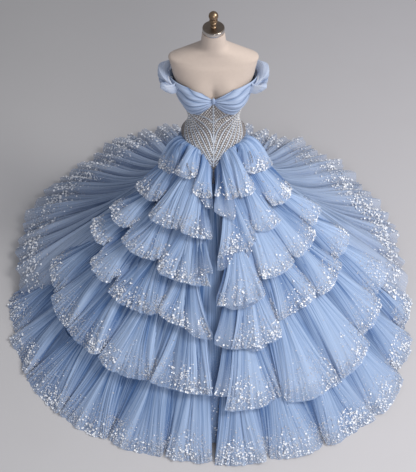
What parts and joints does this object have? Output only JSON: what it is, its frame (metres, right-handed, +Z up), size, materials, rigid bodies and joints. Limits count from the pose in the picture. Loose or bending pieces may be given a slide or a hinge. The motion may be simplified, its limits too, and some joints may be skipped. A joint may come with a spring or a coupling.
{
  "type": "tiered a-line ball gown on a dress form",
  "caption": "A-line evening gown with flounced front tiers, a pleated train, a pointed beaded corset and off-shoulder bands, on a limbless dress form and stand.",
  "frame": {"origin": "middle of the stand base's flat underside, on the floor", "axes": "+Z up along the stand's pole and the figure's axis; -Y towards the gown's front; +X to the viewer's right when the front is seen"},
  "size_m": [2.1499, 2.2625, 1.638],
  "materials": {
    "tulle": "pleated sky blue tulle, semi-sheer at the hems, with silver and white sequins in broad hem bands",
    "underskirt": "plain pleated blue tulle over a lining",
    "chiffon": "gathered blue chiffon, soft sheen",
    "beaded_corset": "silver grey bead ribs and pearls on a nude ground",
    "linen_form": "cream linen stretched over the form, matt",
    "chrome": "polished band round the neck cap",
    "bronze": "dark bronze top plate, satin",
    "brass": "aged brass finial, satin polish",
    "stand_metal": "black powder coat"
  },
  "bodies": {
    "root": {"back_drape": "chiffon", "bust_drape_left": "chiffon", "bust_drape_right": "chiffon", "bust_knot": "chiffon", "corset_back_left": "beaded_corset", "corset_back_right": "beaded_corset", "corset_front": "beaded_corset", "finial": "brass", "form_torso": "linen_form", "neck_band": "chrome", "neck_plate": "bronze", "pole": "stand_metal", "sleeve_left": "chiffon", "sleeve_right": "chiffon", "stand_base": "stand_metal", "tier_1_left": "tulle", "tier_1_right": "tulle", "tier_2_left": "tulle", "tier_2_right": "tulle", "tier_3_left": "tulle", "tier_3_right": "tulle", "tier_4_left": "tulle", "tier_4_right": "tulle", "tier_5_left": "tulle", "tier_5_right": "tulle", "tier_6_left": "tulle", "tier_6_right": "tulle", "train_back_left": "tulle", "train_back_right": "tulle", "train_side_left": "tulle", "train_side_right": "tulle", "underskirt_front": "underskirt"}
  },
  "joints": []
}
